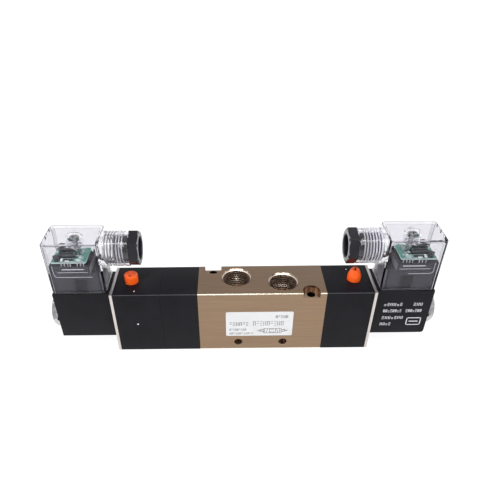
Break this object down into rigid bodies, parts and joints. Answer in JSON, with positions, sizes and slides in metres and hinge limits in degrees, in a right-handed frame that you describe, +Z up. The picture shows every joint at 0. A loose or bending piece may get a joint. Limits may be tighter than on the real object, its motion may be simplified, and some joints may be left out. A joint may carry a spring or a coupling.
{
  "type": "solenoid directional valve",
  "caption": "Double-solenoid, spring-centred air valve: anodised ported body between black pilot blocks, with coils, clear plug connectors and cable glands at both ends.",
  "frame": {"origin": "under the middle of the whole valve, on the plane it rests on", "axes": "+X along the spool from the spring-housing end, +Z up out of the ported top face, -Y out of the labelled front"},
  "size_m": [0.2174, 0.027, 0.0711],
  "materials": {
    "anodised": "champagne anodised, brushed",
    "black": "satin black anodised",
    "coil": "moulded black",
    "plate": "brushed, bare",
    "steel": "machined",
    "spring": "drawn wire",
    "spool": "hard anodised, clear",
    "rubber": "matt",
    "orange": "moulded orange",
    "clear": "clear, polished",
    "insert": "moulded dark grey",
    "board": "green solder mask",
    "nut": "moulded black",
    "paper": "white film",
    "piston": "acetal"
  },
  "bodies": {
    "frame": {"valve_body": "anodised", "label_plate": "paper", "spring_housing": "black", "centering_spring_inner": "spring", "centering_spring_outer": "spring", "left_pilot_block": "black", "right_pilot_block": "black", "left_end_seal": "rubber", "right_end_seal": "rubber", "left_end_plate": "plate", "right_end_plate": "plate", "left_armature_tube": "steel", "right_armature_tube": "steel", "left_fixed_core": "steel", "right_fixed_core": "steel", "left_armature_spring": "spring", "right_armature_spring": "spring", "left_coil": "coil", "right_coil": "coil", "left_coil_nut": "steel", "right_coil_nut": "steel", "left_connector_gasket": "rubber", "right_connector_gasket": "rubber", "left_connector_insert": "insert", "right_connector_insert": "insert", "left_connector_board": "board", "right_connector_board": "board", "left_connector_housing": "clear", "right_connector_housing": "clear", "left_connector_screw": "steel", "right_connector_screw": "steel", "left_gland_grommet": "rubber", "right_gland_grommet": "rubber", "left_gland_nut": "nut", "right_gland_nut": "nut", "left_override_spring": "spring", "right_override_spring": "spring", "left_block_screw_a": "steel", "right_block_screw_a": "steel", "left_block_screw_b": "steel", "right_block_screw_b": "steel"},
    "spool": {"spool": "spool", "centering_rod": "steel", "spool_seal_1": "rubber", "spool_seal_2": "rubber", "spool_seal_3": "rubber", "spool_seal_4": "rubber", "spool_seal_5": "rubber", "spool_seal_6": "rubber"},
    "left_piston": {"left_piston": "piston", "left_piston_seal": "rubber"},
    "left_armature": {"left_armature": "steel"},
    "left_override_stem": {"left_override_seal": "rubber"},
    "left_override_button": {"left_override_button": "orange"},
    "right_piston": {"right_piston": "piston", "right_piston_seal": "rubber"},
    "right_armature": {"right_armature": "steel"},
    "right_override_stem": {"right_override_seal": "rubber"},
    "right_override_button": {"right_override_button": "orange"}
  },
  "joints": [
    {"name": "spool_slide", "type": "slide", "parent": "frame", "child": "spool", "axis": [1, 0, 0], "range_m": [-0.004, 0.004], "stiffness_N_per_m": 2000, "deforming": ["centering_spring_inner", "centering_spring_outer"]},
    {"name": "left_piston_slide", "type": "slide", "parent": "frame", "child": "left_piston", "axis": [1, 0, 0], "range_m": [-0.004, 0.004]},
    {"name": "left_armature_slide", "type": "slide", "parent": "frame", "child": "left_armature", "axis": [-1, 0, 0], "range_m": [0, 0.001], "stiffness_N_per_m": 400, "springref_m": -0.003, "deforming": ["left_armature_spring"]},
    {"name": "left_override_press", "type": "slide", "parent": "frame", "child": "left_override_stem", "axis": [0, 0, -1], "range_m": [0, 0.0018], "stiffness_N_per_m": 300, "springref_m": -0.003, "deforming": ["left_override_spring"]},
    {"name": "left_override_turn", "type": "hinge", "parent": "left_override_stem", "child": "left_override_button", "pos_m": [-0.0619, 0, 0.04], "axis": [0, 0, -1], "range_deg": [0, 90]},
    {"name": "right_piston_slide", "type": "slide", "parent": "frame", "child": "right_piston", "axis": [1, 0, 0], "range_m": [-0.004, 0.004]},
    {"name": "right_armature_slide", "type": "slide", "parent": "frame", "child": "right_armature", "axis": [1, 0, 0], "range_m": [0, 0.001], "stiffness_N_per_m": 400, "springref_m": -0.003, "deforming": ["right_armature_spring"]},
    {"name": "right_override_press", "type": "slide", "parent": "frame", "child": "right_override_stem", "axis": [0, 0, -1], "range_m": [0, 0.0018], "stiffness_N_per_m": 300, "springref_m": -0.003, "deforming": ["right_override_spring"]},
    {"name": "right_override_turn", "type": "hinge", "parent": "right_override_stem", "child": "right_override_button", "pos_m": [0.0619, 0, 0.04], "axis": [0, 0, -1], "range_deg": [0, 90]}
  ],
  "couplings": [
    {"joint": "left_piston_slide", "follows": "spool_slide", "ratio": 1},
    {"joint": "right_piston_slide", "follows": "spool_slide", "ratio": 1}
  ]
}
